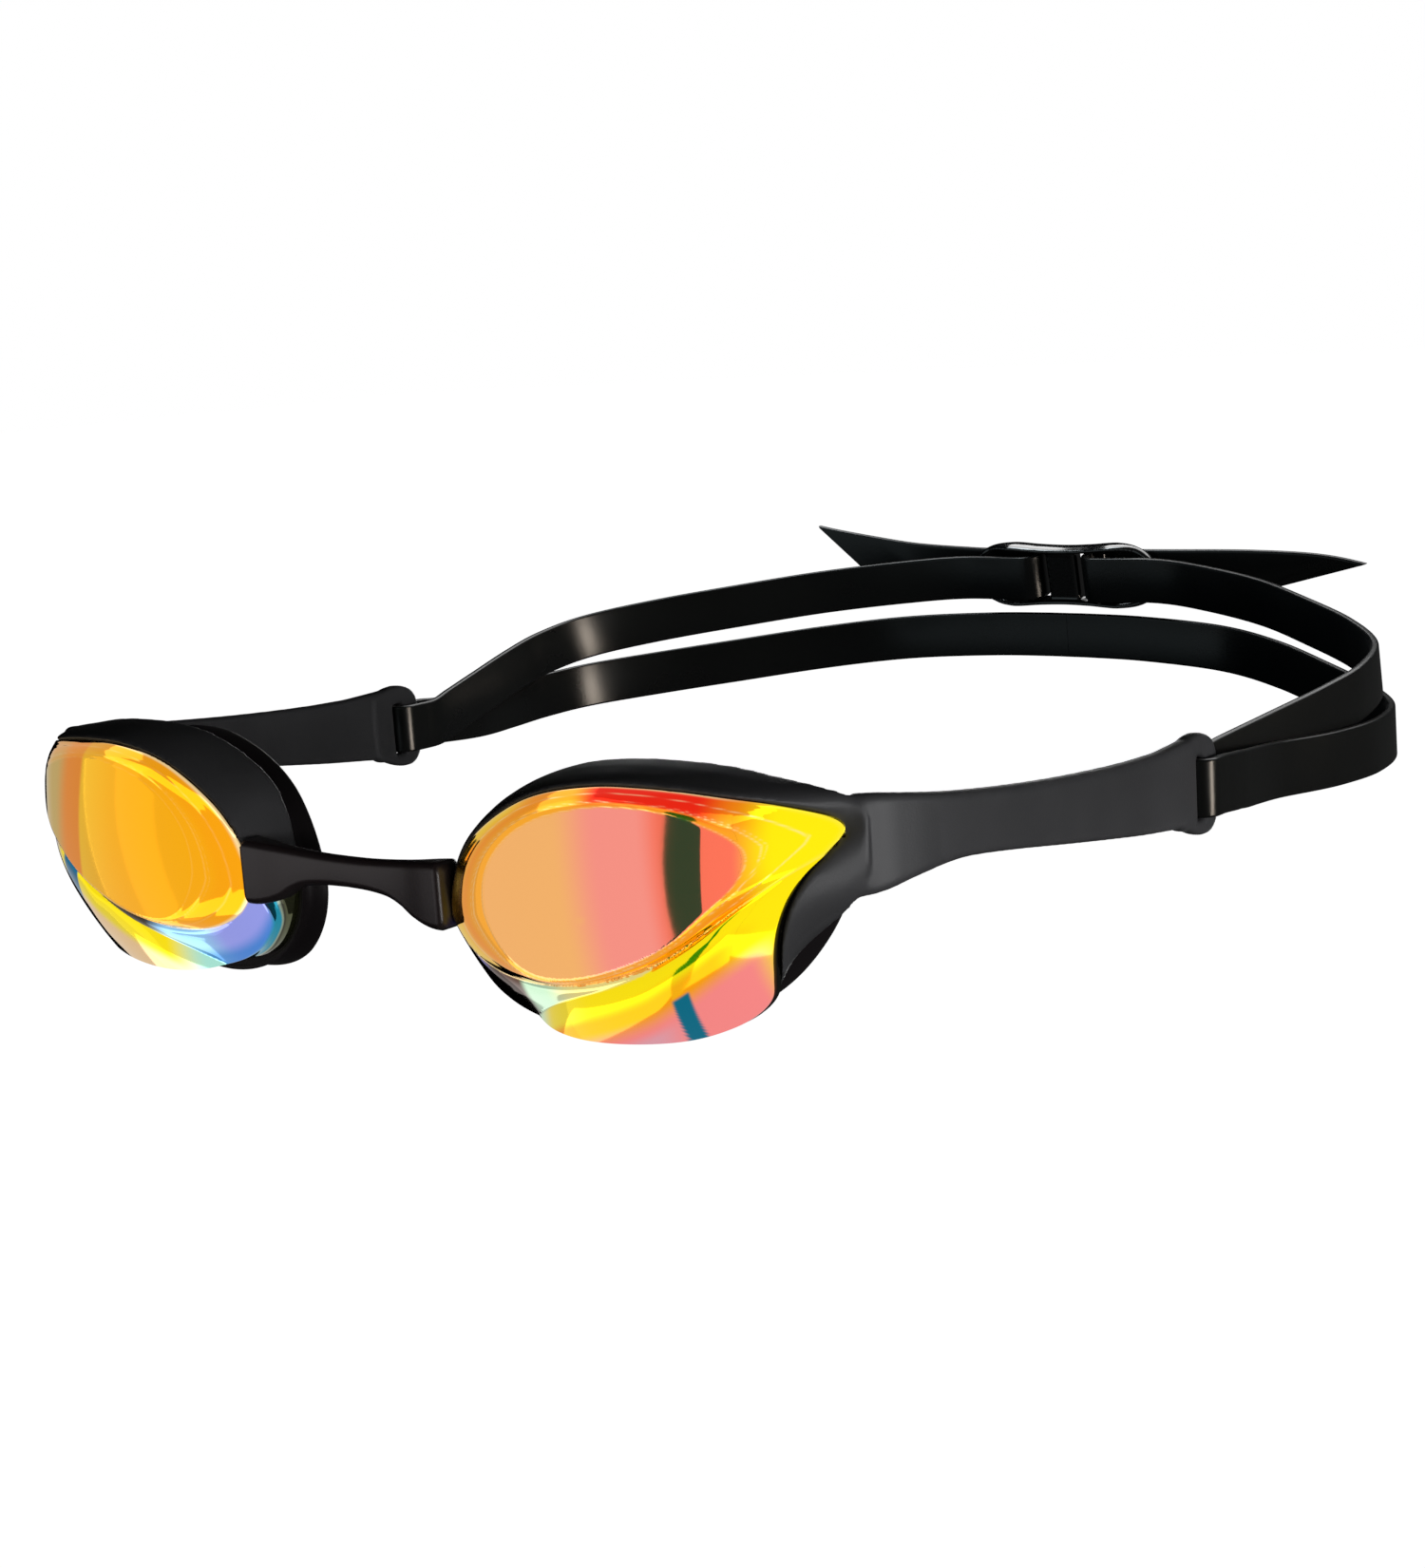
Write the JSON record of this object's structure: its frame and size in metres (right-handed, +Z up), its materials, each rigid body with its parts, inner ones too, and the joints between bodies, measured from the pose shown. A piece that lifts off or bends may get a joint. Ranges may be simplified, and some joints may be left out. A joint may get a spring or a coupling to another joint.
{
  "type": "swim goggles",
  "caption": "Racing swim goggles: mirrored lenses in rigid frames with side arms, soft gaskets, a flexible nose bridge, and a split silicone head strap held by a gloss buckle",
  "frame": {"origin": "middle of the nose bridge's rear face", "axes": "+X the wearer's left, +Y towards the back of the head, +Z up, as worn"},
  "size_m": [0.166, 0.1911, 0.0407],
  "materials": {
    "lens_mirror": "mirror-coated polycarbonate, orange to yellow with teal edges, over a clear side wall",
    "frame_grey": "fine satin-matte moulded plastic, dark grey",
    "gasket_black": "soft matte rubber, black",
    "bridge_plastic": "satin flexible plastic, brown-black",
    "strap_silicone": "soft-sheen silicone, black",
    "buckle_gloss": "polished moulded plastic, black"
  },
  "bodies": {
    "bridge": {"nose_bridge": "bridge_plastic"},
    "eyecup_left": {"lens_left": "lens_mirror", "frame_left": "frame_grey", "gasket_left": "gasket_black"},
    "eyecup_right": {"lens_right": "lens_mirror", "frame_right": "frame_grey", "gasket_right": "gasket_black"},
    "loop_left": {"strap_loop_left": "strap_silicone"},
    "loop_right": {"strap_loop_right": "strap_silicone"},
    "upper_left": {"upper_band_left": "strap_silicone", "strap_tail_left": "strap_silicone"},
    "upper_right": {"upper_band_right": "strap_silicone", "strap_tail_right": "strap_silicone"},
    "lower_left": {"lower_band_left": "strap_silicone"},
    "lower_right": {"lower_band_right": "strap_silicone"},
    "buckle": {"buckle": "buckle_gloss"}
  },
  "joints": [
    {"name": "bridge_flex_left", "type": "hinge", "parent": "bridge", "child": "eyecup_left", "pos_m": [0.01, 0, 0], "axis": [0, 0, 1], "range_deg": [-2.5, 2.5], "stiffness_Nm_per_rad": 0.6},
    {"name": "bridge_flex_right", "type": "hinge", "parent": "bridge", "child": "eyecup_right", "pos_m": [-0.01, 0, 0], "axis": [0, 0, 1], "range_deg": [-2.5, 2.5]},
    {"name": "loop_swing_left", "type": "hinge", "parent": "eyecup_left", "child": "loop_left", "pos_m": [0.0753, 0.0843, -0.0002], "axis": [0, 0, 1], "range_deg": [-4.8, 4.8]},
    {"name": "loop_swing_right", "type": "hinge", "parent": "eyecup_right", "child": "loop_right", "pos_m": [-0.0753, 0.0843, -0.0002], "axis": [0, 0, 1], "range_deg": [-4.8, 4.8]},
    {"name": "upper_tilt_left", "type": "hinge", "parent": "loop_left", "child": "upper_left", "pos_m": [0.0729, 0.09, 0.0003], "axis": [1, 0, 0], "range_deg": [0, 20]},
    {"name": "upper_tilt_right", "type": "hinge", "parent": "loop_right", "child": "upper_right", "pos_m": [-0.0729, 0.09, 0.0003], "axis": [1, 0, 0], "range_deg": [0, 20]},
    {"name": "lower_tilt_left", "type": "hinge", "parent": "loop_left", "child": "lower_left", "pos_m": [0.0777, 0.09, -0.0007], "axis": [1, 0, 0], "range_deg": [-20, 0]},
    {"name": "lower_tilt_right", "type": "hinge", "parent": "loop_right", "child": "lower_right", "pos_m": [-0.0777, 0.09, -0.0007], "axis": [1, 0, 0], "range_deg": [-20, 0]},
    {"name": "buckle_turn", "type": "hinge", "parent": "upper_left", "child": "buckle", "pos_m": [0, 0.17696, 0.01501], "axis": [0, 0, 1], "range_deg": [-2.3, 2.3]}
  ],
  "couplings": [
    {"joint": "bridge_flex_right", "follows": "bridge_flex_left", "ratio": -1},
    {"joint": "loop_swing_left", "follows": "bridge_flex_left", "ratio": -1.91},
    {"joint": "loop_swing_right", "follows": "bridge_flex_left", "ratio": 1.91},
    {"joint": "buckle_turn", "follows": "bridge_flex_left", "ratio": 0.91},
    {"joint": "upper_tilt_right", "follows": "upper_tilt_left", "ratio": 1},
    {"joint": "lower_tilt_right", "follows": "lower_tilt_left", "ratio": 1}
  ]
}
